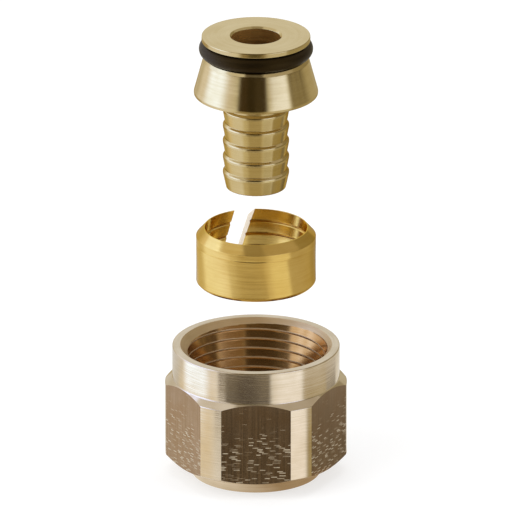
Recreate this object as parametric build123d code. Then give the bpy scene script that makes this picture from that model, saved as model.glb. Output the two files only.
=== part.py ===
from build123d import *
import os
from math import radians, tan

# Brass compression fitting for plastic heating pipe, taken apart along its upright axis.
# From the bottom: union nut, split clamping ring, barbed insert with a rubber seal on its head.
# The origin is the middle of the nut's foot, +Z runs up the axis, and one flat faces -Y.

# Pipe that the fitting grips, and the union thread that screws to the manifold
pipe_diameter = 15.0
pipe_wall = 2.5
thread_over_pipe = 7.0
thread_pitch = 1.5
thread_minor_factor = 1.0825

# Split clamping ring
ring_slip = 0.1
ring_wall = 1.3
ring_height = 8.7
ring_top_land = 0.15
ring_top_bevel_angle = 48.0
ring_bottom_bevel = 0.45
groove_pitch = 2.0
groove_count = 4
groove_depth = 0.3
groove_width = 0.5
first_groove = 1.9
slit_width = 2.9
slit_slant = 18.0
slit_turn = 24.0

# Union nut
nut_wall = 1.5
corner_stand = 1.025
collar_step = 0.05
foot_wall = 1.85
foot_height = 2.4
hex_height = 12.65
collar_height = 4.95
hex_foot_bevel_angle = 30.0
hex_top_bevel_angle = 40.0
mouth_stand = 0.25
mouth_bevel_angle = 45.0
thread_depth = 9.6
pipe_hole_gap = 0.3
pipe_hole_height = 2.5
pipe_hole_bevel = 0.3
seat_angle = 45.0
ring_chamber_gap = 0.3
shoulder_angle = 45.0
edge_break = 0.15

# Barbed insert
barb_slip = 0.08
barb_depth = 0.33
barb_pitch = 2.45
barb_count = 5
barb_land = 0.35
neck_length = 2.25
tip_length = 2.6
tip_drop = 0.16
shank_wall = 0.99
water_way_bevel = 0.28
cone_thread_gap = 0.988
cone_half_angle = 15.0
cone_length = 4.85
cone_foot_land = 0.5
cone_foot_bevel = 0.15
lip_height = 0.5
plate_lip = 0.15
plate_height = 0.77
plate_edge_break = 0.12

# Rubber seal ring
seal_section = 2.35
seal_stand = 0.4
seal_side_gap = 0.08
seal_seat_gap = 0.02

# Clear space between the pieces where they stand apart
ring_above_nut = 9.9
insert_above_ring = 6.5


def turned(outline):
    """Solid turned about the axis from a closed outline of (radius, height) points."""
    wire = Polyline(*[(radius, 0, height) for radius, height in outline], close=True)
    return revolve(make_face(wire), Axis.Z)


def rise(width, angle):
    """Height of a bevel that is width wide and stands at angle to the level."""
    return width * tan(radians(angle))


# Sizes that the pieces share
ring_bore = pipe_diameter / 2 + ring_slip
ring_radius = ring_bore + ring_wall
thread_major = (pipe_diameter + thread_over_pipe) / 2
thread_minor = thread_major - thread_minor_factor * thread_pitch / 2


def union_nut():
    """Hexagon bar turned round at its corners, foot and collar, and bored and threaded from the top."""
    flat = thread_major + nut_wall
    corner = flat + corner_stand
    collar = flat - collar_step
    hole = pipe_diameter / 2 + pipe_hole_gap
    foot = hole + foot_wall
    chamber = ring_radius + ring_chamber_gap
    mouth = thread_major + mouth_stand
    hex_top = foot_height + hex_height
    top = hex_top + collar_height
    thread_end = top - thread_depth
    seat_top = pipe_hole_height + rise(chamber - hole, seat_angle)

    # The hexagon, with both ends turned to cones that leave arched edges on its flats
    blank = turned([
        (0, foot_height),
        (flat, foot_height),
        (corner, foot_height + rise(corner - flat, hex_foot_bevel_angle)),
        (corner, hex_top - rise(corner - collar, hex_top_bevel_angle)),
        (collar, hex_top),
        (0, hex_top),
    ])
    hexagon = RegularPolygon(flat, 6, major_radius=False)
    body = blank & extrude(Pos(0, 0, foot_height) * hexagon, hex_height)

    # Round foot below it and round collar above it
    body += turned([
        (0, 0),
        (foot - edge_break, 0),
        (foot, edge_break),
        (foot, foot_height),
        (0, foot_height),
    ])
    body += turned([
        (0, hex_top),
        (collar, hex_top),
        (collar, top - edge_break),
        (collar - edge_break, top),
        (0, top),
    ])

    # Pipe hole, cone that squeezes the ring, ring chamber, thread at its inner diameter, mouth
    return body - turned([
        (0, 0),
        (hole + pipe_hole_bevel, 0),
        (hole, pipe_hole_bevel),
        (hole, pipe_hole_height),
        (chamber, seat_top),
        (chamber, thread_end - rise(thread_minor - chamber, shoulder_angle)),
        (thread_minor, thread_end),
        (thread_minor, top - rise(mouth - thread_minor, mouth_bevel_angle)),
        (mouth, top),
        (0, top),
    ])


def split_ring():
    """Clamping ring with gripping grooves inside, sawn through at a slant so that it can close."""
    outline = [
        (ring_bore, 0),
        (ring_radius - ring_bottom_bevel, 0),
        (ring_radius, ring_bottom_bevel),
        (ring_radius, ring_height - rise(ring_wall - ring_top_land, ring_top_bevel_angle)),
        (ring_bore + ring_top_land, ring_height),
        (ring_bore, ring_height),
    ]
    for index in range(groove_count):
        middle = ring_height - first_groove - index * groove_pitch
        outline += [
            (ring_bore, middle + groove_width / 2),
            (ring_bore + groove_depth, middle),
            (ring_bore, middle - groove_width / 2),
        ]

    # The saw runs straight out from the axis, through one side of the ring only
    reach = 2 * ring_radius
    blade = Rot(Y=slit_slant) * Pos(0, reach / 2, 0) * Box(slit_width, reach, 2 * ring_height)
    return turned(outline) - Pos(0, 0, ring_height / 2) * Rot(Z=slit_turn) * blade


# Heights on the insert, counted up from the tip of its shank
crest = pipe_diameter / 2 - pipe_wall - barb_slip
valley = crest - barb_depth
top_crest = tip_length + (barb_count - 1) * barb_pitch
cone_foot = top_crest + neck_length
cone_top = cone_foot + cone_foot_land + cone_length
groove_foot = cone_top + lip_height
plate_foot = groove_foot + seal_section + 2 * seal_side_gap
plate_top = plate_foot + plate_height
cone_radius = thread_minor - cone_thread_gap
cone_top_radius = cone_radius - cone_length * tan(radians(cone_half_angle))
plate_radius = cone_top_radius + plate_lip
seal_middle = plate_radius + seal_stand - seal_section / 2


def barbed_insert():
    """Barbed shank under a cone head with a seal groove, bored through for the water."""
    water_way = valley - shank_wall
    groove = seal_middle - seal_section / 2 - seal_seat_gap
    outline = [(water_way, 0), (valley - tip_drop, 0)]

    # Each barb narrows towards the tip and ends in a square shoulder above its crest
    for index in range(barb_count):
        shoulder = tip_length + index * barb_pitch
        outline += [(crest, shoulder - barb_land), (crest, shoulder), (valley, shoulder)]

    outline += [
        (valley, cone_foot),
        (cone_radius - cone_foot_bevel, cone_foot),
        (cone_radius, cone_foot + cone_foot_bevel),
        (cone_radius, cone_foot + cone_foot_land),
        (cone_top_radius, cone_top),
        (cone_top_radius - lip_height, groove_foot),
        (groove, groove_foot),
        (groove, plate_foot),
        (plate_radius - plate_edge_break, plate_foot),
        (plate_radius, plate_foot + plate_edge_break),
        (plate_radius, plate_top - plate_edge_break),
        (plate_radius - plate_edge_break, plate_top),
        (water_way + water_way_bevel, plate_top),
        (water_way, plate_top - water_way_bevel),
    ]
    return turned(outline)


def seal_ring():
    """Rubber ring that sits in the groove of the cone head and stands a little proud of it."""
    return Pos(0, 0, (groove_foot + plate_foot) / 2) * Torus(seal_middle, seal_section / 2)


# The pieces stand apart on one axis, in the order in which they go together
nut_height = foot_height + hex_height + collar_height
ring_place = Pos(0, 0, nut_height + ring_above_nut)
insert_place = ring_place * Pos(0, 0, ring_height + insert_above_ring)

pieces = {
    "union_nut": union_nut(),
    "split_ring": ring_place * split_ring(),
    "barbed_insert": insert_place * barbed_insert(),
    "seal_ring": insert_place * seal_ring(),
}

os.makedirs("parts", exist_ok=True)
for name, piece in pieces.items():
    export_step(piece, f"parts/{name}.step")
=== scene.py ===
from math import cos, pi, radians, sin, tan

import bmesh
import bpy
import numpy as np
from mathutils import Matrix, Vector


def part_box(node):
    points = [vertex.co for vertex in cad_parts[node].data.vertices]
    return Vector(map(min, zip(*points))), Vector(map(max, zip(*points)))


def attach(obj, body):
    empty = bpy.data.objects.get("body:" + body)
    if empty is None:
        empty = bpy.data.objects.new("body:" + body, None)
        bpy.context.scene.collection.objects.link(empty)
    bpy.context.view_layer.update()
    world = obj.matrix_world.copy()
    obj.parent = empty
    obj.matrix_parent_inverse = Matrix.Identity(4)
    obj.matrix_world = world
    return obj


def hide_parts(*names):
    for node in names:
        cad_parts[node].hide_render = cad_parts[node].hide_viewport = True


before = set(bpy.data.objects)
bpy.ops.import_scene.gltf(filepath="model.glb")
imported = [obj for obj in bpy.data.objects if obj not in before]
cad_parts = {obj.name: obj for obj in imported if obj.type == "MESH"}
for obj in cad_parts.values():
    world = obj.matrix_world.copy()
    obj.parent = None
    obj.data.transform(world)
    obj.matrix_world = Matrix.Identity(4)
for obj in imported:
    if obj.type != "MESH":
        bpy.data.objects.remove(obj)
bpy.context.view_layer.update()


# Union nut: cut from drawn hexagon brass bar, with its foot, corners, collar and mouth turned on a lathe.
# The six flats keep the brown skin of the bar, and an inside thread takes the manifold's nipple.
# It stands on its foot, and the other pieces go into it from above.

# Sizes are in mm, here and in the sections below, and points nearer than touch count as one
mm = 0.001
touch = 0.001
nut_low, nut_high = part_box("union_nut")
nut_top = nut_high.z / mm
flat_radius = nut_high.y / mm
corner_radius = nut_high.x / mm
collar_step = 0.05
collar_radius = flat_radius - collar_step
foot_radius = 9.65
foot_height = 2.4
hex_top = 15.05
underside_step = 0.15
underside_radius = flat_radius - underside_step
hex_foot_bevel_angle = radians(30)
hex_top_bevel_angle = radians(40)
pipe_hole_radius = 7.8
pipe_hole_bevel = 0.3
pipe_hole_height = 2.5
seat_top = 3.9
chamber_radius = 9.2
chamber_top = 9.41
mouth_radius = 11.25
# The thread is shallower than a full one, and its long lower flank leans so as to catch the light
thread_pitch = 1.5
thread_minor = 10.188
thread_depth = 0.47
thread_crest = 0.14
upper_flank = 0.19
lower_flank = 1.03
thread_crest_at_back = 18.5
thread_foot = 10.4
thread_fade = 1.2
edge_rounding = 0.15
fine_rounding = 0.06
# Mesh: columns round the axis, and rows up each face, close to its edges so that these stay crisp
thread_row = 0.05
columns_on_flat = 28
columns_on_corner = 8
foot_bevel_rows = (0.06, 0.94)
side_rows = (0, 0.006, 0.3, 0.7, 0.994, 1)
top_bevel_rows = (0.08, 0.92)


def rounded(outline, steps=4, guard=0.03):
    """Chain of (radius, height) points, from corners that may have a rounding as their third value.
    A guard point on either side of a rounding keeps the faces beside it flat to the eye."""
    corners = [Vector(corner[:2]) for corner in outline]
    chain = [corners[0]]
    for before, corner, after, size in zip(corners, corners[1:], corners[2:], outline[1:]):
        if len(size) < 3:
            chain.append(corner)
            continue
        back = (before - corner).normalized()
        ahead = (after - corner).normalized()
        half_angle = back.angle(ahead) / 2
        reach = size[2] / tan(half_angle)
        centre = corner + (back + ahead).normalized() * size[2] / sin(half_angle)
        start = corner + back * reach - centre
        end = corner + ahead * reach - centre
        chain.append(corner + back * (reach + guard))
        chain += [centre + start.slerp(end, step / steps) * size[2] for step in range(steps + 1)]
        chain.append(corner + ahead * (reach + guard))
    return [tuple(point) for point in chain + corners[-1:]]


def skin(name, radius, height, angle, closed=True):
    """Mesh piece over a grid of radius, height and angle. Its rows close into a loop,
    and its columns close round the axis unless they leave a gap there."""
    radius, height, angle = np.broadcast_arrays(radius, height, angle)
    rows, columns = radius.shape
    points = np.stack([radius * np.cos(angle), radius * np.sin(angle), height], axis=2) * mm
    spans = columns if closed else columns - 1
    row, column = np.meshgrid(np.arange(rows), np.arange(spans), indexing="ij")
    row_after = (row + 1) % rows
    column_after = (column + 1) % columns
    corners = [(row, column), (row, column_after), (row_after, column_after), (row_after, column)]
    faces = np.stack([r * columns + c for r, c in corners], axis=2).reshape(-1, 4)
    mesh = bpy.data.meshes.new(name)
    mesh.from_pydata(points.reshape(-1, 3).tolist(), [], faces.tolist())
    mesh.shade_smooth()
    piece = bpy.data.objects.new(name, mesh)
    bpy.context.scene.collection.objects.link(piece)
    return piece


def finish_piece(piece, materials, material_of_face, body, node):
    """Gives a piece its materials, with crisp edges where two of them meet, and its place in the frame."""
    for material in materials:
        piece.data.materials.append(material)
    piece.data.polygons.foreach_set("material_index", material_of_face.ravel().astype(np.int32))
    surface = bmesh.new()
    surface.from_mesh(piece.data)
    bmesh.ops.recalc_face_normals(surface, faces=surface.faces)
    for edge in surface.edges:
        edge.smooth = len({face.material_index for face in edge.link_faces}) == 1
    surface.to_mesh(piece.data)
    surface.free()
    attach(piece, body)
    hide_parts(node)


def linear(colour):
    """Linear colour of an sRGB hex value."""
    shares = [int(colour[start:start + 2], 16) / 255 for start in (1, 3, 5)]
    return (*[s / 12.92 if s <= 0.04045 else ((s + 0.055) / 1.055) ** 2.4 for s in shares], 1)


def add_node(tree, kind, inputs=None, **settings):
    """Adds a shader node. Inputs are values, or other nodes' sockets to link."""
    made = tree.nodes.new("ShaderNode" + kind)
    for setting, value in settings.items():
        setattr(made, setting, value)
    for socket, value in (inputs or {}).items():
        if isinstance(value, bpy.types.NodeSocket):
            tree.links.new(value, made.inputs[socket])
        else:
            made.inputs[socket].default_value = value
    return made


def new_material(name):
    """Empty node material, and its node tree."""
    material = bpy.data.materials.new(name)
    material.use_nodes = True
    material.node_tree.nodes.clear()
    return material, material.node_tree


def turned_brass(name, pale, deep, roughness, line, depth, stretch=0.0, metal=1.0, edge="#FFFFFF"):
    """Brass cut on a lathe. The tool leaves fine rings round the axis, drawn here coarse enough to show:
    they stretch each reflection along the axis and break it into faint level lines.
    Line and depth are the rings' spacing and height, and edge tints what glancing light shows."""
    line_run = 6.0
    cloud_size = 3.5
    tone_share = 0.5
    gloss_swing = 0.15
    radius_share = 0.6
    material, tree = new_material(name)
    place = add_node(tree, "TexCoord").outputs["Object"]
    parts = add_node(tree, "SeparateXYZ", {0: place})
    level = add_node(tree, "VectorMath", {0: place, 1: (1, 1, 0)}, operation="MULTIPLY")
    radius = add_node(tree, "VectorMath", {0: level.outputs[0]}, operation="LENGTH")
    # Height on walls and radius on level faces, mixed so that bevels of either slope have lines too
    along = add_node(tree, "Math", {0: radius.outputs["Value"], 1: radius_share, 2: parts.outputs["Z"]},
                     operation="MULTIPLY_ADD")
    ring_place = add_node(tree, "CombineXYZ", {
        "X": parts.outputs["X"], "Y": parts.outputs["Y"], "Z": along.outputs[0]})
    ring_cells = add_node(tree, "VectorMath", {
        0: ring_place.outputs[0], 1: (1 / (line_run * mm), 1 / (line_run * mm), 1 / (line * mm))},
        operation="MULTIPLY")
    rings = add_node(tree, "TexNoise", {"Vector": ring_cells.outputs[0], "Scale": 1, "Detail": 2})
    clouds = add_node(tree, "TexNoise", {"Vector": place, "Scale": 1 / (cloud_size * mm), "Detail": 3})
    cloud_share = add_node(tree, "MapRange", {
        "Value": clouds.outputs["Fac"], "From Min": 0.35, "From Max": 0.7})
    ring_share = add_node(tree, "MapRange", {
        "Value": rings.outputs["Fac"], "From Min": 0.3, "From Max": 0.75, "To Max": tone_share})
    share = add_node(tree, "Math", {0: cloud_share.outputs[0], 1: tone_share, 2: ring_share.outputs[0]},
                     operation="MULTIPLY_ADD")
    colour = add_node(tree, "Mix", {"Factor": share.outputs[0], "A": linear(pale), "B": linear(deep)},
                      data_type="RGBA")
    gloss = add_node(tree, "MapRange", {
        "Value": rings.outputs["Fac"], "From Min": 0.3, "From Max": 0.7,
        "To Min": roughness * (1 - gloss_swing), "To Max": roughness * (1 + gloss_swing)})
    bump = add_node(tree, "Bump", {"Strength": 1, "Distance": depth * mm, "Height": rings.outputs["Fac"]})
    tangent = add_node(tree, "Tangent", direction_type="RADIAL", axis="Z")
    shader = add_node(tree, "BsdfPrincipled", {
        "Base Color": colour.outputs["Result"], "Metallic": metal, "Roughness": gloss.outputs[0],
        "Anisotropic": stretch, "Anisotropic Rotation": 0.25, "Specular Tint": linear(edge),
        "Normal": bump.outputs[0], "Tangent": tangent.outputs[0]})
    add_node(tree, "OutputMaterial", {"Surface": shader.outputs[0]})
    return material


def drawn_brass_skin(name):
    """Skin of cold-drawn brass bar: brown and dull, with draw lines along the bar, drawn coarse enough
    to show. Short level scratches let bare brass shine through, most of them on the lower half."""
    dark_brown, light_brown, patch_brown = linear("#978064"), linear("#AB9276"), linear("#9C8060")
    bare_brass = linear("#D9CBB2")
    scratch_row = 0.22
    scratch_cell = 1.9
    scratch_depth = 0.003
    scratches_from = 13.5
    scratches_full = 7.0
    patch_size = 2.4
    draw_line = 0.2
    draw_run = 14.0
    material, tree = new_material(name)
    place = add_node(tree, "TexCoord").outputs["Object"]
    parts = add_node(tree, "SeparateXYZ", {0: place})
    # Level rows of cells round the bar, each row shifted: a cell holds one scratch or none
    turn = add_node(tree, "Math", {0: parts.outputs["Y"], 1: parts.outputs["X"]}, operation="ARCTAN2")
    up = add_node(tree, "Math", {0: parts.outputs["Z"], 1: 1 / (scratch_row * mm)}, operation="MULTIPLY")
    row = add_node(tree, "Math", {0: up.outputs[0]}, operation="FLOOR")
    shift = add_node(tree, "TexWhiteNoise", {"W": row.outputs[0]}, noise_dimensions="1D")
    along = add_node(tree, "Math", {
        0: turn.outputs[0], 1: flat_radius / scratch_cell, 2: shift.outputs["Value"]},
        operation="MULTIPLY_ADD")
    cell = add_node(tree, "Math", {0: along.outputs[0]}, operation="FLOOR")
    cell_place = add_node(tree, "CombineXYZ", {"X": cell.outputs[0], "Y": row.outputs[0]})
    chance = add_node(tree, "TexWhiteNoise", {"Vector": cell_place.outputs[0]}, noise_dimensions="2D")
    picks = add_node(tree, "SeparateColor", {0: chance.outputs["Color"]})
    in_cell = add_node(tree, "Math", {0: along.outputs[0], 1: 0.5}, operation="PINGPONG")
    length = add_node(tree, "MapRange", {"Value": picks.outputs["Red"], "To Min": 0.06, "To Max": 0.3})
    from_end = add_node(tree, "Math", {0: in_cell.outputs[0], 1: length.outputs[0]}, operation="SUBTRACT")
    end_mask = add_node(tree, "MapRange", {
        "Value": from_end.outputs[0], "From Min": 0, "From Max": 0.06})
    in_row = add_node(tree, "Math", {0: up.outputs[0], 1: 0.5}, operation="PINGPONG")
    row_mask = add_node(tree, "MapRange", {
        "Value": in_row.outputs[0], "From Min": 0.12, "From Max": 0.3})
    scratch = add_node(tree, "Math", {0: end_mask.outputs[0], 1: row_mask.outputs[0]}, operation="MULTIPLY")
    patches = add_node(tree, "TexNoise", {"Vector": place, "Scale": 1 / (patch_size * mm), "Detail": 2})
    draw_cells = add_node(tree, "VectorMath", {
        0: place, 1: (1 / (draw_line * mm), 1 / (draw_line * mm), 1 / (draw_run * mm))},
        operation="MULTIPLY")
    draw_lines = add_node(tree, "TexNoise", {"Vector": draw_cells.outputs[0], "Scale": 1, "Detail": 2})
    lower = add_node(tree, "MapRange", {
        "Value": parts.outputs["Z"], "From Min": scratches_from * mm, "From Max": scratches_full * mm,
        "To Min": -0.62, "To Max": 0.0}, interpolation_type="SMOOTHSTEP")
    crowd = add_node(tree, "MapRange", {
        "Value": patches.outputs["Fac"], "From Min": 0.35, "From Max": 0.65,
        "To Min": -0.22, "To Max": 0.16})
    crowded = add_node(tree, "Math", {0: lower.outputs[0], 1: crowd.outputs[0]}, operation="ADD")
    raised = add_node(tree, "Math", {0: chance.outputs["Value"], 1: crowded.outputs[0]}, operation="ADD")
    picked = add_node(tree, "MapRange", {"Value": raised.outputs[0], "From Min": 0.28, "From Max": 0.85})
    bare = add_node(tree, "Math", {0: picked.outputs[0], 1: scratch.outputs[0]}, operation="MULTIPLY")
    streak = add_node(tree, "MapRange", {
        "Value": draw_lines.outputs["Fac"], "From Min": 0.3, "From Max": 0.7})
    mottle = add_node(tree, "MapRange", {
        "Value": patches.outputs["Fac"], "From Min": 0.3, "From Max": 0.7})
    brown = add_node(tree, "Mix", {
        "Factor": streak.outputs[0], "A": dark_brown, "B": light_brown}, data_type="RGBA")
    skin_colour = add_node(tree, "Mix", {
        "Factor": mottle.outputs[0], "A": brown.outputs["Result"], "B": patch_brown}, data_type="RGBA")
    colour = add_node(tree, "Mix", {
        "Factor": bare.outputs[0], "A": skin_colour.outputs["Result"], "B": bare_brass}, data_type="RGBA")
    metal = add_node(tree, "MapRange", {"Value": bare.outputs[0], "To Min": 1, "To Max": 0.25})
    dull = add_node(tree, "MapRange", {"Value": streak.outputs[0], "To Min": 0.18, "To Max": 0.23})
    relief = add_node(tree, "Math", {
        0: bare.outputs[0], 1: draw_lines.outputs["Fac"]}, operation="SUBTRACT")
    bump = add_node(tree, "Bump", {
        "Strength": 1, "Distance": scratch_depth * mm, "Height": relief.outputs[0]})
    shader = add_node(tree, "BsdfPrincipled", {
        "Base Color": colour.outputs["Result"], "Metallic": metal.outputs[0],
        "Roughness": dull.outputs[0], "Normal": bump.outputs[0]})
    add_node(tree, "OutputMaterial", {"Surface": shader.outputs[0]})
    return material


def tapped_brass(name):
    """Brass cut by a tap: golden flanks with fine cutting lines, drawn coarse enough to show,
    and narrow crests that the boring left pale and matt."""
    crest_depth = 0.05
    line = 0.12
    line_run = 5.0
    line_depth = 0.002
    material, tree = new_material(name)
    place = add_node(tree, "TexCoord").outputs["Object"]
    level = add_node(tree, "VectorMath", {0: place, 1: (1, 1, 0)}, operation="MULTIPLY")
    radius = add_node(tree, "VectorMath", {0: level.outputs[0]}, operation="LENGTH")
    crest = add_node(tree, "MapRange", {
        "Value": radius.outputs["Value"], "From Min": (thread_minor + crest_depth) * mm,
        "From Max": thread_minor * mm}, interpolation_type="SMOOTHSTEP")
    line_cells = add_node(tree, "VectorMath", {
        0: place, 1: (1 / (line_run * mm), 1 / (line_run * mm), 1 / (line * mm))}, operation="MULTIPLY")
    lines = add_node(tree, "TexNoise", {"Vector": line_cells.outputs[0], "Scale": 1, "Detail": 2})
    flank = add_node(tree, "Mix", {
        "Factor": lines.outputs["Fac"], "A": linear("#D2AA70"), "B": linear("#B4884E")}, data_type="RGBA")
    colour = add_node(tree, "Mix", {
        "Factor": crest.outputs[0], "A": flank.outputs["Result"], "B": linear("#C8B08E")}, data_type="RGBA")
    metal = add_node(tree, "MapRange", {"Value": crest.outputs[0], "To Min": 0.92, "To Max": 0.45})
    gloss = add_node(tree, "MapRange", {"Value": crest.outputs[0], "To Min": 0.15, "To Max": 0.5})
    bump = add_node(tree, "Bump", {
        "Strength": 1, "Distance": line_depth * mm, "Height": lines.outputs["Fac"]})
    shader = add_node(tree, "BsdfPrincipled", {
        "Base Color": colour.outputs["Result"], "Metallic": metal.outputs[0],
        "Roughness": gloss.outputs[0], "Normal": bump.outputs[0]})
    add_node(tree, "OutputMaterial", {"Surface": shader.outputs[0]})
    return material


# One column of points for each angle: evenly spaced on each flat, and closer on the turned corners
half_flat = np.arccos(flat_radius / corner_radius)
on_flat = np.linspace(-half_flat, half_flat, columns_on_flat, endpoint=False)
on_corner = np.linspace(half_flat, pi / 3 - half_flat, columns_on_corner, endpoint=False)
from_flat = np.tile(np.concatenate([on_flat, on_corner]), 6)
flat_middle = np.repeat(np.arange(6) * pi / 3 - pi / 2, columns_on_flat + columns_on_corner)
angle = from_flat + flat_middle
nearest = (from_flat + pi / 6) % (pi / 3) - pi / 6
side = np.minimum(flat_radius / np.cos(nearest), corner_radius)
side_foot = foot_height + (side - underside_radius) * tan(hex_foot_bevel_angle)
side_top = hex_top - (side - collar_radius) * tan(hex_top_bevel_angle)

nut_rows = rounded([
    (pipe_hole_radius, pipe_hole_height / 2),
    (pipe_hole_radius, pipe_hole_bevel, fine_rounding),
    (pipe_hole_radius + pipe_hole_bevel, 0, fine_rounding),
    (foot_radius, 0, edge_rounding),
    (foot_radius, foot_height, edge_rounding),
    (underside_radius, foot_height),
])
for share in foot_bevel_rows:
    nut_rows.append((underside_radius + (side - underside_radius) * share,
                     foot_height + (side_foot - foot_height) * share))
first_side_row = len(nut_rows)
for share in side_rows:
    nut_rows.append((side, side_foot + (side_top - side_foot) * share))
last_side_row = len(nut_rows) - 1
for share in top_bevel_rows:
    nut_rows.append((side + (collar_radius - side) * share,
                     side_top + (hex_top - side_top) * share))
nut_rows += rounded([
    (collar_radius, hex_top),
    (collar_radius, hex_top + edge_rounding),
    (collar_radius, nut_top, edge_rounding),
    (mouth_radius, nut_top, fine_rounding),
    (mouth_radius - edge_rounding, nut_top - edge_rounding),
])
first_thread_row = len(nut_rows)
for height in np.arange(nut_top - edge_rounding - thread_row, thread_foot, -thread_row):
    thread_turn = ((height - thread_crest_at_back) / thread_pitch - (angle - pi / 2) / (2 * pi)) % 1
    above_crest = thread_turn * thread_pitch - thread_crest / 2
    below_crest = (1 - thread_turn) * thread_pitch - thread_crest / 2
    off_crest = np.minimum(above_crest / lower_flank, below_crest / upper_flank)
    fade = min(1, (height - thread_foot) / thread_fade)
    groove = thread_depth * fade * np.clip(off_crest, 0, 1)
    mouth = mouth_radius - (nut_top - height)
    nut_rows.append((np.maximum(thread_minor + groove, mouth), height))
last_thread_row = len(nut_rows)
nut_rows += rounded([
    (thread_minor, thread_foot),
    (chamber_radius, chamber_top, edge_rounding),
    (chamber_radius, seat_top, edge_rounding),
    (pipe_hole_radius, pipe_hole_height, fine_rounding),
    (pipe_hole_radius, pipe_hole_height / 2 + edge_rounding),
])
nut_radius = np.array([np.broadcast_to(radius, angle.shape) for radius, height in nut_rows])
nut_height = np.array([np.broadcast_to(height, angle.shape) for radius, height in nut_rows])
nut = skin("union_nut_skin", nut_radius, nut_height, angle)

row_of_face = np.arange(len(nut_rows))[:, None]
span_on_flat = (np.arange(len(angle)) % (columns_on_flat + columns_on_corner)) < columns_on_flat
on_side = (row_of_face >= first_side_row) & (row_of_face < last_side_row)
in_thread = (row_of_face >= first_thread_row) & (row_of_face < last_thread_row)
on_mouth = in_thread & (nut_radius < mouth_radius - (nut_top - nut_height) + touch)
mouth_edge = (nut_radius <= mouth_radius + fine_rounding) & (nut_height > nut_top - edge_rounding)

nut_turned, nut_drawn, nut_tapped, nut_countersunk = range(4)
nut_finish = np.where(on_side & span_on_flat, nut_drawn, np.where(in_thread, nut_tapped, nut_turned))
nut_finish = np.where(on_mouth | mouth_edge, nut_countersunk, nut_finish)
finish_piece(nut, [
    # Turned with a sharp tool: pale and bright
    turned_brass("pale_turned_brass", pale="#E2D3BA", deep="#CDBB9C", roughness=0.11,
                 line=0.22, depth=0.0042, stretch=0.1),
    drawn_brass_skin("drawn_brass_skin"),
    tapped_brass("tapped_brass"),
    # Cut with a chattering countersink: too dull to mirror the pieces above
    turned_brass("countersunk_brass", pale="#D0B892", deep="#C2A880", roughness=0.4,
                 line=0.22, depth=0.002, metal=0.75),
], nut_finish, "nut", "union_nut")


# Split clamping ring: turned from yellow brass tube, with a wide bevel on its top edge and grooves inside.
# One slanted saw cut goes through its wall, so that the nut can squeeze it onto the pipe.

ring_low, ring_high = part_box("split_ring")
ring_foot = ring_low.z / mm
ring_height = (ring_high.z - ring_low.z) / mm
ring_radius = ring_high.x / mm
ring_wall = 1.3
ring_bore = ring_radius - ring_wall
ring_top_land = 0.15
ring_top_radius = ring_bore + ring_top_land
ring_bevel_angle = radians(48)
ring_bevel_foot = ring_height - (ring_radius - ring_top_radius) * tan(ring_bevel_angle)
ring_foot_bevel = 0.45
tool_line_below_bevel = 1.05
tool_line_height = ring_bevel_foot - tool_line_below_bevel
tool_line_width = 0.16
tool_line_depth = 0.006
groove_count = 4
groove_pitch = 2.0
groove_below_top = 1.9
groove_width = 0.5
groove_depth = 0.3
slit_width = 2.9
slit_slant = radians(18)
slit_turn = radians(24)
foot_inner_rounding = 0.2
foot_outer_rounding = 0.4
land_rounding = 0.04
groove_rounding = 0.05
ring_columns = 220


def sawn_brass(name):
    """Brass cut with a saw: pale and dull, with tooth lines across the cut, drawn coarse enough to show."""
    tooth = 0.18
    tooth_run = 0.9
    tooth_depth = 0.01
    material, tree = new_material(name)
    place = add_node(tree, "TexCoord").outputs["Object"]
    tooth_cells = add_node(tree, "VectorMath", {
        0: place, 1: (1 / (tooth_run * mm), 1 / (tooth_run * mm), 1 / (tooth * mm))}, operation="MULTIPLY")
    teeth = add_node(tree, "TexNoise", {"Vector": tooth_cells.outputs[0], "Scale": 1, "Detail": 2})
    colour = add_node(tree, "Mix", {
        "Factor": teeth.outputs["Fac"], "A": linear("#FFF3D8"), "B": linear("#EAD9AE")}, data_type="RGBA")
    bump = add_node(tree, "Bump", {
        "Strength": 1, "Distance": tooth_depth * mm, "Height": teeth.outputs["Fac"]})
    shader = add_node(tree, "BsdfPrincipled", {
        "Base Color": colour.outputs["Result"], "Metallic": 1, "Roughness": 0.45,
        "Normal": bump.outputs[0]})
    add_node(tree, "OutputMaterial", {"Surface": shader.outputs[0]})
    return material


ring_outline = [
    (ring_bore, groove_width / 4),
    (ring_bore, 0, fine_rounding),
    (ring_radius - ring_foot_bevel, 0, foot_inner_rounding),
    (ring_radius, ring_foot_bevel, foot_outer_rounding),
    (ring_radius, tool_line_height - tool_line_width / 2, tool_line_width),
    (ring_radius - tool_line_depth, tool_line_height, tool_line_width),
    (ring_radius, tool_line_height + tool_line_width / 2, tool_line_width),
    (ring_radius, ring_bevel_foot, fine_rounding),
    (ring_top_radius, ring_height, land_rounding),
    (ring_bore, ring_height, land_rounding),
]
for index in range(groove_count):
    middle = ring_height - groove_below_top - index * groove_pitch
    ring_outline += [
        (ring_bore, middle + groove_width / 2, groove_rounding),
        (ring_bore + groove_depth, middle, groove_rounding),
        (ring_bore, middle - groove_width / 2, groove_rounding),
    ]
ring_outline.append((ring_bore, groove_width / 3))
ring_rows = np.array(rounded(ring_outline))
radius, height = ring_rows[:, :1], ring_rows[:, 1:]

# Both sides of the slit are flat, so each row of the ring starts and ends at its own angle
lean = (height - ring_height / 2) * sin(slit_slant)
right_edge = np.arcsin((lean + slit_width / 2) / (radius * cos(slit_slant)))
left_edge = np.arcsin((lean - slit_width / 2) / (radius * cos(slit_slant)))
start = pi / 2 + slit_turn - left_edge
sweep = 2 * pi - (right_edge - left_edge)
angle = start + sweep * np.linspace(0, 1, ring_columns)
ring = skin("split_ring_skin", radius, height + ring_foot, angle, closed=False)

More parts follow.
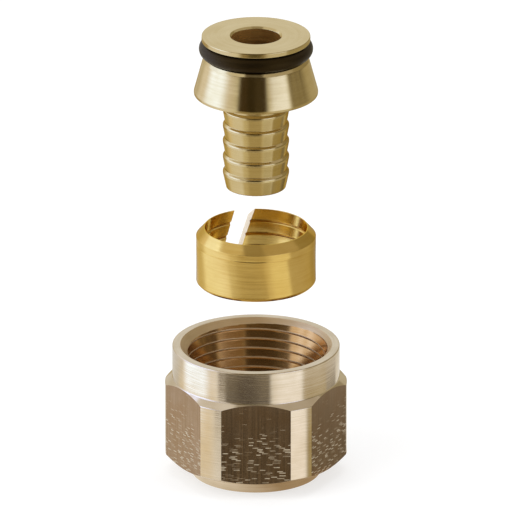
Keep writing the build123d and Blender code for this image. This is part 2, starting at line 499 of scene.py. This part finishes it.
surface = bmesh.new()
surface.from_mesh(ring.data)
surface.verts.ensure_lookup_table()
for column in (0, ring_columns - 1):
    edge_of_cut = [surface.verts[row * ring_columns + column] for row in range(len(ring_rows))]
    cut = surface.faces.new(edge_of_cut)
    cut.smooth = False
surface.to_mesh(ring.data)
surface.free()

groove_root = ring_bore + groove_depth + touch
between_ends = (height > 0) & (height < ring_height)
in_bore = (radius < groove_root) & (np.roll(radius, -1) < groove_root) & between_ends
ring_turned, ring_sawn, ring_bored = range(3)
ring_finish = np.repeat(np.where(in_bore, ring_bored, ring_turned), ring_columns - 1)
finish_piece(ring, [
    # Turned with a fine feed: yellow, with a satin gloss
    turned_brass("yellow_satin_brass", pale="#DDBC6C", deep="#CFAA58", roughness=0.15,
                 line=0.2, depth=0.0014, stretch=0.1, edge="#F0DFB8"),
    sawn_brass("sawn_brass"),
    # Bored: the wall mirrors itself again and again, which deepens its yellow
    turned_brass("bored_yellow_brass", pale="#E8CC7F", deep="#D3B05E", roughness=0.18,
                 line=0.25, depth=0.002, stretch=0.1, edge="#EBD08C"),
], np.append(ring_finish, [ring_sawn, ring_sawn]), "ring", "split_ring")


# Barbed insert: one bright-turned piece of brass. Five barbs on its shank hold it in the plastic pipe.
# Its cone seats in the manifold, its head has a groove for the rubber seal, and its bore carries the water.

insert_low, insert_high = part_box("barbed_insert")
insert_tip = insert_low.z / mm
plate_top = (insert_high.z - insert_low.z) / mm
cone_radius = insert_high.x / mm
crest_radius = 4.92
valley_radius = 4.59
tip_radius = 4.43
tip_length = 2.6
barb_count = 5
barb_pitch = 2.45
barb_land = 0.35
water_way_radius = 3.6
water_way_bevel = 0.28
cone_foot = 14.65
cone_foot_land = 0.5
cone_top = 20.0
cone_top_radius = 7.9
lip_height = 0.5
lip_width = 0.35
groove_radius = 6.08
plate_foot = 23.01
plate_radius = 8.05
plate_rounding = 0.12
# The barbs' shoulders slope a little, as the tool's corner leaves them
shoulder_rise = 0.3
shoulder_rounding = 0.25
valley_rounding = 0.05
cone_foot_rounding = 0.2
cone_land_rounding = 0.8
cone_top_rounding = 0.15
lip_rounding = 0.1
insert_columns = 216

insert_outline = [
    (water_way_radius, plate_top / 2),
    (water_way_radius, 0, fine_rounding),
    (tip_radius, 0, edge_rounding),
]
for index in range(barb_count):
    shoulder = tip_length + index * barb_pitch
    insert_outline += [
        (crest_radius, shoulder - barb_land, edge_rounding),
        (crest_radius, shoulder, shoulder_rounding),
        (valley_radius, shoulder + shoulder_rise, valley_rounding),
    ]
insert_outline += [
    (valley_radius, cone_foot, edge_rounding),
    (cone_radius, cone_foot, cone_foot_rounding),
    (cone_radius, cone_foot + cone_foot_land, cone_land_rounding),
    (cone_top_radius, cone_top, cone_top_rounding),
    (cone_top_radius - lip_width, cone_top + lip_height, lip_rounding),
    (groove_radius, cone_top + lip_height, edge_rounding),
    (groove_radius, plate_foot, edge_rounding),
    (plate_radius, plate_foot, plate_rounding),
    (plate_radius, plate_top, plate_rounding),
    (water_way_radius + water_way_bevel, plate_top, fine_rounding),
    (water_way_radius, plate_top - water_way_bevel, fine_rounding),
    (water_way_radius, plate_top / 2 + edge_rounding),
]
insert_rows = np.array(rounded(insert_outline))
radius, height = insert_rows[:, :1], insert_rows[:, 1:]
angle = np.linspace(0, 2 * pi, insert_columns, endpoint=False)
insert = skin("barbed_insert_skin", radius, height + insert_tip, angle)

bore_reach = water_way_radius + touch
in_bore = (radius <= bore_reach) & (np.roll(radius, -1) <= bore_reach)
under_cone = (abs(height - cone_foot) < touch) & (radius > valley_radius + edge_rounding)
on_shank = height < cone_foot
insert_faced, insert_drilled, insert_turned, insert_undercut = range(4)
insert_finish = np.where(on_shank, insert_turned, insert_faced)
insert_finish = np.where(under_cone, insert_undercut, insert_finish)
insert_finish = np.where(in_bore, insert_drilled, insert_finish)
finish_piece(insert, [
    # The head, faced with a wide sharp tool: bright, and nearly white at a glance
    turned_brass("bright_faced_brass", pale="#D3C08F", deep="#C7B17B", roughness=0.14,
                 line=0.3, depth=0.0009, stretch=0.2, edge="#FAF4E6"),
    # The bore, drilled: brown and rough, with marks of the drill's lips
    turned_brass("drilled_brass", pale="#D2A45A", deep="#7A5226", roughness=0.3,
                 line=0.5, depth=0.02, metal=0.72),
    # The shank, turned: bright like the head, and golden at its edges
    turned_brass("bright_turned_brass", pale="#D3C08F", deep="#C7B17B", roughness=0.14,
                 line=0.3, depth=0.0012, stretch=0.2, edge="#D8BC80"),
    # The cone's underside, undercut with the corner of a tool: dull, and painted paler than the head as
    # painted light from below, so that it lights the barb below
    turned_brass("undercut_brass_painted_light", pale="#E6CF94", deep="#D8BC7C", roughness=0.5,
                 line=0.3, depth=0.002, metal=0.5),
], np.broadcast_to(insert_finish, (len(insert_rows), insert_columns)),
    "insert", "barbed_insert")


# Seal ring: a moulded rubber O-ring, stretched into the groove of the insert's head.
# It stands a little proud of the plate, and seals against the bore of the manifold's nipple.

seal_low, seal_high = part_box("seal_ring")
seal_section = (seal_high.z - seal_low.z) / mm
seal_middle_height = (seal_high.z + seal_low.z) / 2 / mm
seal_middle_radius = seal_high.x / mm - seal_section / 2
seal_steps = 56
seal_columns = 216


def moulded_rubber(name):
    """Black nitrile rubber from a steel mould: a soft gloss, a brown tinge and a fine dusty grain,
    drawn coarse enough to show."""
    grain = 0.25
    grain_depth = 0.01
    bloom_size = 2.5
    material, tree = new_material(name)
    place = add_node(tree, "TexCoord").outputs["Object"]
    dust = add_node(tree, "TexNoise", {"Vector": place, "Scale": 1 / (grain * mm), "Detail": 4})
    bloom = add_node(tree, "TexNoise", {"Vector": place, "Scale": 1 / (bloom_size * mm), "Detail": 2})
    colour = add_node(tree, "Mix", {
        "Factor": bloom.outputs["Fac"], "A": linear("#130E07"), "B": linear("#1B150C")}, data_type="RGBA")
    dull = add_node(tree, "MapRange", {
        "Value": dust.outputs["Fac"], "From Min": 0.3, "From Max": 0.7, "To Min": 0.34, "To Max": 0.48})
    bump = add_node(tree, "Bump", {
        "Strength": 0.5, "Distance": grain_depth * mm, "Height": dust.outputs["Fac"]})
    shader = add_node(tree, "BsdfPrincipled", {
        "Base Color": colour.outputs["Result"], "Roughness": dull.outputs[0], "IOR": 1.5,
        "Specular IOR Level": 0.3, "Specular Tint": linear("#FFC860"), "Normal": bump.outputs[0]})
    add_node(tree, "OutputMaterial", {"Surface": shader.outputs[0]})
    return material


section = np.linspace(0, 2 * pi, seal_steps, endpoint=False)[:, None]
angle = np.linspace(0, 2 * pi, seal_columns, endpoint=False)
seal = skin("seal_ring_skin", seal_middle_radius + np.cos(section) * seal_section / 2,
            seal_middle_height + np.sin(section) * seal_section / 2, angle)
finish_piece(seal, [moulded_rubber("moulded_rubber")], np.zeros(len(seal.data.polygons)),
             "insert", "seal_ring")


# Studio: a white floor, and a round light tent whose wall carries soft-edged cards for the metal to mirror.
# The tent shows only in reflections, and lamps and the sky light the dull surfaces and the floor.

# Sizes in m
floor_half = 2.0
floor_gap = 0.00002
floor_level = nut_low.z - floor_gap
floor_fill = 0.64
tent_radius = 0.22
tent_middle = 0.035

floor_mesh = bpy.data.meshes.new("floor")
floor_corners = [(-floor_half, -floor_half), (floor_half, -floor_half),
                 (floor_half, floor_half), (-floor_half, floor_half)]
floor_mesh.from_pydata([(*corner, floor_level) for corner in floor_corners], [], [(0, 1, 2, 3)])
floor = bpy.data.objects.new("floor", floor_mesh)
bpy.context.scene.collection.objects.link(floor)
floor.visible_glossy = False
# Matt white paper, which keeps the shadow. A glow for the camera alone lifts it to white
paper, tree = new_material("white_paper")
path = add_node(tree, "LightPath")
seen = add_node(tree, "Math", {0: path.outputs["Is Camera Ray"], 1: path.outputs["Is Transmission Ray"]},
                operation="MAXIMUM")
matt = add_node(tree, "BsdfDiffuse", {"Color": linear("#A8A8A8")})
fill = add_node(tree, "Emission", {"Color": linear("#FFFFFF"), "Strength": floor_fill})
nothing = add_node(tree, "Emission", {"Strength": 0})
lift = add_node(tree, "MixShader", {0: seen.outputs[0], 1: nothing.outputs[0], 2: fill.outputs[0]})
both = add_node(tree, "AddShader", {0: matt.outputs[0], 1: lift.outputs[0]})
add_node(tree, "OutputMaterial", {"Surface": both.outputs[0]})
floor_mesh.materials.append(paper)


def only_mirrored(piece):
    """Shows a piece of the studio in reflections alone."""
    piece.visible_camera = False
    piece.visible_diffuse = False
    piece.visible_transmission = False
    piece.visible_shadow = False
    bpy.context.scene.collection.objects.link(piece)


# A round card under the nut brightens its foot, from light on the left to dim on the right
card_radius = 0.017
card_light_to = -0.9 * foot_radius * mm
card_dim_from = 0.5 * foot_radius * mm
card_light = (0.90, 0.86, 0.81, 1)
card_dim = (0.48, 0.37, 0.25, 1)
card_shape = bmesh.new()
bmesh.ops.create_circle(card_shape, cap_ends=True, segments=64, radius=card_radius)
card_mesh = bpy.data.meshes.new("foot_card")
card_shape.to_mesh(card_mesh)
card_shape.free()
card_paper, tree = new_material("card_paper")
place = add_node(tree, "TexCoord").outputs["Object"]
across = add_node(tree, "SeparateXYZ", {0: place}).outputs["X"]
dimmed = add_node(tree, "MapRange", {
    "Value": across, "From Min": card_light_to, "From Max": card_dim_from})
card_tone = add_node(tree, "Mix", {
    "Factor": dimmed.outputs[0], "A": card_light, "B": card_dim}, data_type="RGBA")
glow = add_node(tree, "Emission", {"Color": card_tone.outputs["Result"], "Strength": 1})
add_node(tree, "OutputMaterial", {"Surface": glow.outputs[0]})
card_mesh.materials.append(card_paper)
foot_card = bpy.data.objects.new("foot_card", card_mesh)
foot_card.location.z = nut_low.z - floor_gap / 2
only_mirrored(foot_card)

# Cards on the tent, each painted over those before it: its light as linear red, green and blue,
# which may pass 1, the softness of its sides in degrees, and its ranges. Turn is in degrees from
# the camera's side to the right, and height in mm. In the roof, across is mm to the right and
# along is mm away from the camera
height_softness = 3
roof_softness = 8
tent_tone = (0.92, 0.92, 0.92, 1)
cards = [
    # Back, left half
    ((0.72, 0.69, 0.62), 5, {"turn": (-200, -118), "height": (-400, 120)}),
    ((0.55, 0.46, 0.28), 5, {"turn": (-200, -120), "height": (-30, 5)}),
    ((0.82, 0.84, 0.95), 6, {"turn": (-200, -120), "height": (-49, -30)}),
    ((0.74, 0.73, 0.72), 6, {"turn": (-200, -118), "height": (-58, -49)}),
    # Left wall, bright: a band each for foot, flats, collar, ring, shank and cone
    ((0.95, 0.94, 0.95), 10, {"turn": (-120, -52), "height": (-400, -69)}),
    ((0.95, 0.84, 0.64), 8, {"turn": (-130, -55), "height": (-69, -58)}),
    ((1.00, 0.98, 0.95), 5, {"turn": (-118, -55), "height": (-58, -49)}),
    ((1.50, 1.85, 2.50), 8, {"turn": (-112, -70), "height": (-58, -49)}),
    ((1.20, 1.35, 1.95), 13, {"turn": (-118, -54), "height": (-49, -30)}),
    ((0.97, 0.97, 1.09), 12, {"turn": (-118, -50), "height": (-30, 5)}),
    ((1.00, 1.00, 1.15), 10, {"turn": (-134, -44), "height": (5, 185)}),
    ((1.50, 1.84, 3.10), 12, {"turn": (-106, -62), "height": (5, 185)}),
    # Back, right half
    ((0.85, 0.82, 0.75), 5, {"turn": (140, 200), "height": (-400, 60)}),
    # Bright strip to the right of the camera, in the same bands
    ((0.55, 0.49, 0.33), 9, {"turn": (24, 66), "height": (-400, -98)}),
    ((0.66, 0.61, 0.47), 9, {"turn": (24, 66), "height": (-98, -80)}),
    ((1.12, 1.10, 1.12), 5, {"turn": (24, 66), "height": (-80, -57)}),
    ((1.20, 1.24, 1.36), 7, {"turn": (30, 66), "height": (-57, -49)}),
    ((1.02, 1.04, 1.00), 8, {"turn": (31, 67), "height": (-49, -30)}),
    ((0.70, 0.65, 0.52), 9, {"turn": (20, 66), "height": (-30, 5)}),
    ((1.32, 1.45, 2.00), 7, {"turn": (29, 64), "height": (5, 140)}),
    # Right wall, dim
    ((0.31, 0.24, 0.11), 4, {"turn": (67, 140), "height": (-400, -98)}),
    ((0.48, 0.39, 0.18), 4, {"turn": (67, 140), "height": (-98, -80)}),
    ((0.28, 0.25, 0.20), 4, {"turn": (67, 140), "height": (-80, -57)}),
    ((0.46, 0.37, 0.17), 4, {"turn": (67, 111), "height": (-80, -57)}),
    ((0.73, 0.69, 0.62), 4, {"turn": (68, 200), "height": (-57, -49)}),
    ((0.62, 0.58, 0.52), 4, {"turn": (68, 200), "height": (-49, -30)}),
    ((0.50, 0.46, 0.40), 9, {"turn": (128, 200), "height": (-49, -30)}),
    ((0.48, 0.42, 0.26), 5, {"turn": (67, 200), "height": (-30, 5)}),
    ((0.38, 0.33, 0.22), 5, {"turn": (67, 200), "height": (5, 170)}),
    ((0.58, 0.53, 0.40), 12, {"turn": (112, 200), "height": (5, 60)}),
    # Camera's side, golden for the barbs and the ring, and dark for the flats, the collar and the cone
    ((0.70, 0.62, 0.42), 8, {"turn": (-52, 28), "height": (-400, -98)}),
    ((0.80, 0.73, 0.53), 8, {"turn": (-52, 28), "height": (-98, -80)}),
    ((0.56, 0.47, 0.28), 8, {"turn": (-30, 24), "height": (-400, -80)}),
    ((0.08, 0.073, 0.067), 4, {"turn": (-42, 20), "height": (-80, -57)}),
    ((0.165, 0.125, 0.075), 3, {"turn": (-52, 19), "height": (-57, -47.5)}),
    ((0.05, 0.028, 0.014), 12, {"turn": (-27, 3), "height": (-57, -47.5)}),
    ((0.80, 0.76, 0.66), 8, {"turn": (-34, 27), "height": (-47.5, -30)}),
    ((0.39, 0.31, 0.165), 8, {"turn": (-34, 22), "height": (-30, 5)}),
    ((0.10, 0.08, 0.03), 8, {"turn": (-16, 12), "height": (-16, 5)}),
    ((0.075, 0.050, 0.022), 5, {"turn": (-33, 21), "height": (5, 214)}),
    ((0.046, 0.034, 0.015), 4, {"turn": (-16, 12), "height": (5, 214)}),
    ((0.085, 0.065, 0.035), 4, {"turn": (-2, 11), "height": (5, 100)}),
    # What the thread mirrors, from its middle to its two sides
    ((0.05, 0.035, 0.018), 4, {"turn": (-60, 20), "height": (100, 150)}),
    ((0.24, 0.17, 0.09), 3, {"turn": (22, 70), "height": (100, 150)}),
    ((0.06, 0.04, 0.03), 3, {"turn": (70, 88), "height": (81, 125)}),
    ((0.06, 0.04, 0.03), 3, {"turn": (86, 101), "height": (72, 105)}),
    ((0.06, 0.04, 0.03), 3, {"turn": (99, 122), "height": (61, 90)}),
    ((1.00, 1.00, 1.05), 6, {"turn": (-86, -62), "height": (94, 128)}),
    ((1.00, 1.00, 1.05), 6, {"turn": (-104, -84), "height": (76, 104)}),
    # Roof
    ((0.82, 0.80, 0.79), 5, {"across": (-400, -65), "height": (185, 400)}),
    ((0.55, 0.50, 0.43), 5, {"across": (45, 400), "height": (170, 400)}),
    ((0.42, 0.38, 0.31), 5, {"across": (-66, 46), "along": (-400, 10), "height": (214, 400)}),
    ((0.50, 0.46, 0.38), 5, {"across": (-65, 42), "along": (10, 110), "height": (165, 400)}),
    # Highlight on the ring's bevel
    ((1.30, 1.55, 2.50), 8, {"turn": (-132, -107), "height": (128, 160)}),
    ((1.30, 1.55, 2.50), 8, {"turn": (-111, -96), "height": (128, 178)}),
    # Straight behind, for the nut's rim and the insert's top face
    ((0.80, 0.80, 0.78), 6, {"turn": (160, 200), "height": (80, 122)}),
    ((0.80, 0.80, 0.78), 6, {"turn": (-200, -160), "height": (80, 122)}),
    ((0.90, 0.93, 1.02), 6, {"turn": (160, 200), "height": (122, 175)}),
    ((0.90, 0.93, 1.02), 6, {"turn": (-200, -160), "height": (122, 175)}),
]
tent_shape = bmesh.new()
bmesh.ops.create_uvsphere(tent_shape, u_segments=64, v_segments=32, radius=tent_radius)
tent_mesh = bpy.data.meshes.new("light_tent")
tent_shape.to_mesh(tent_mesh)
tent_shape.free()
cloth, tree = new_material("tent_cloth")
cloth.cycles.emission_sampling = "NONE"
spot = add_node(tree, "NewGeometry").outputs["Position"]
in_mm = add_node(tree, "VectorMath", {0: spot, "Scale": 1 / mm}, operation="SCALE")
on_tent = add_node(tree, "SeparateXYZ", {0: in_mm.outputs[0]}).outputs
front = add_node(tree, "Math", {0: on_tent["Y"], 1: -1}, operation="MULTIPLY")
azimuth = add_node(tree, "Math", {0: on_tent["X"], 1: front.outputs[0]}, operation="ARCTAN2")
tent_turn = add_node(tree, "Math", {0: azimuth.outputs[0]}, operation="DEGREES")
measure = {"turn": tent_turn.outputs[0], "height": on_tent["Z"],
           "across": on_tent["X"], "along": on_tent["Y"]}
tone = tent_tone
for shade, turn_softness, ranges in cards:
    soft_edge = {"turn": turn_softness, "height": height_softness,
                 "across": roof_softness, "along": roof_softness}
    mask = 1
    for name, (low, high) in ranges.items():
        middle = (low + high) / 2
        half = (high - low) / 2
        off_middle = add_node(tree, "Math", {0: measure[name], 1: middle}, operation="SUBTRACT")
        away = add_node(tree, "Math", {0: off_middle.outputs[0]}, operation="ABSOLUTE")
        inside = add_node(tree, "MapRange", {
            "Value": away.outputs[0],
            "From Min": half + soft_edge[name], "From Max": half - soft_edge[name]},
            interpolation_type="SMOOTHSTEP")
        mask = add_node(tree, "Math", {0: inside.outputs[0], 1: mask}, operation="MULTIPLY").outputs[0]
    tone = add_node(tree, "Mix", {"Factor": mask, "A": tone, "B": (*shade, 1)},
                    data_type="RGBA").outputs["Result"]
glow = add_node(tree, "Emission", {"Color": tone, "Strength": 1})
add_node(tree, "OutputMaterial", {"Surface": glow.outputs[0]})
tent_mesh.materials.append(cloth)
tent = bpy.data.objects.new("light_tent", tent_mesh)
tent.location.z = tent_middle
only_mirrored(tent)

# Sky: white to the camera, to mirrors and through glass, and gentler as a light on dull surfaces
sky_light = 0.6
sky = bpy.data.worlds.new("white_sky")
bpy.context.scene.world = sky
sky.use_nodes = True
tree = sky.node_tree
tree.nodes.clear()
path = add_node(tree, "LightPath")
mirrored = add_node(tree, "Math", {0: path.outputs["Is Camera Ray"], 1: path.outputs["Is Glossy Ray"]},
                    operation="MAXIMUM")
seen = add_node(tree, "Math", {0: mirrored.outputs[0], 1: path.outputs["Is Transmission Ray"]},
                operation="MAXIMUM")
strength = add_node(tree, "MapRange", {"Value": seen.outputs[0], "To Min": sky_light, "To Max": 1})
white = add_node(tree, "Background", {"Color": linear("#FFFFFF"), "Strength": strength.outputs[0]})
add_node(tree, "OutputWorld", {"Surface": white.outputs[0]})

# Softboxes: a large one up on the left, a smaller one on the right and one overhead,
# each with its place and width in m and its power in W
softboxes = [
    ("left_softbox", (-0.55, -0.35, 0.55), 0.6, 3.0),
    ("right_softbox", (0.60, -0.30, 0.40), 0.5, 1.5),
    ("top_softbox", (0.0, 0.15, 0.9), 0.7, 2.5),
]
for name, where, size, power in softboxes:
    lamp = bpy.data.lights.new(name, "AREA")
    lamp.size = size
    lamp.energy = power
    softbox = bpy.data.objects.new(name, lamp)
    softbox.location = where
    aim = Vector((0, 0, tent_middle)) - Vector(where)
    softbox.rotation_euler = aim.to_track_quat("-Z", "Y").to_euler()
    softbox.visible_glossy = False
    bpy.context.scene.collection.objects.link(softbox)

# Camera: a very long lens in front, a little above, with the whole column of pieces in view
view_width = 0.0760
half_view = radians(0.8)
elevation = radians(20.8)
aim_point = Vector((0, 0, 0.0340))
distance = view_width / 2 / tan(half_view)
lens = bpy.data.cameras.new("long_lens")
lens.sensor_width = 36
lens.lens = lens.sensor_width / 2 / tan(half_view)
camera = bpy.data.objects.new("camera", lens)
camera.location = aim_point + distance * Vector((0, -cos(elevation), sin(elevation)))
camera.rotation_euler = (pi / 2 - elevation, 0, 0)
bpy.context.scene.collection.objects.link(camera)
bpy.context.scene.camera = camera
bpy.context.scene.view_settings.view_transform = "Standard"
# Light comes back out of the thread and the bore only after many bounces
bpy.context.scene.cycles.glossy_bounces = 12
